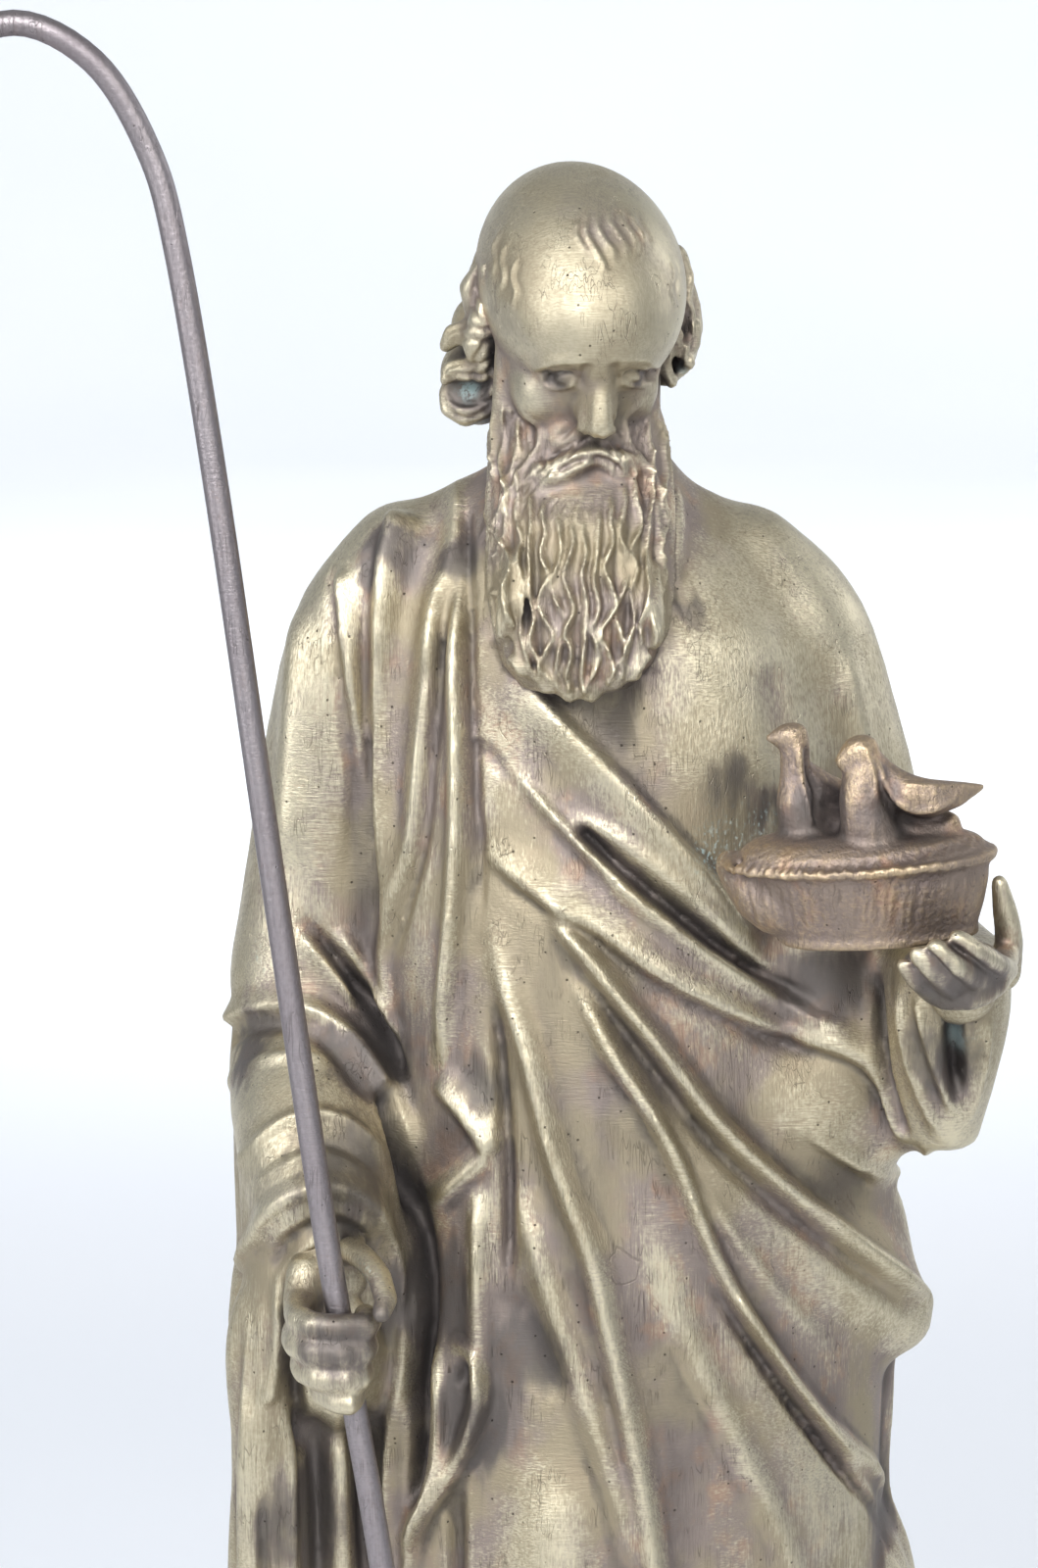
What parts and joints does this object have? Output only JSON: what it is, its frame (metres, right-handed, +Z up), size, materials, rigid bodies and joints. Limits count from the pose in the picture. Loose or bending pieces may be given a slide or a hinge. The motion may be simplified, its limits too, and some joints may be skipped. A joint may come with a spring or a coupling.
{
  "type": "bronze statue",
  "caption": "Standing bronze saint in draped robe and mantle, with a hooked crook in the right hand and a basket of doves in the left, on a low round plinth.",
  "frame": {"origin": "middle of the plinth's round underside, on the surface that the statue stands on", "axes": "+Z up; the figure faces -Y; +X is towards the figure's own left, which is the side with the basket"},
  "size_m": [0.2683, 0.184, 0.634],
  "materials": {
    "figure": "cast bronze with a brown patina, rubbed golden on the raised folds",
    "dove_basket": "rougher coppery cast bronze",
    "crook": "brown oxidised round bar with light rust",
    "plinth": "cast bronze with a brown patina"
  },
  "bodies": {
    "root": {"figure": "figure", "dove_basket": "dove_basket", "crook": "crook", "plinth": "plinth"}
  },
  "joints": []
}
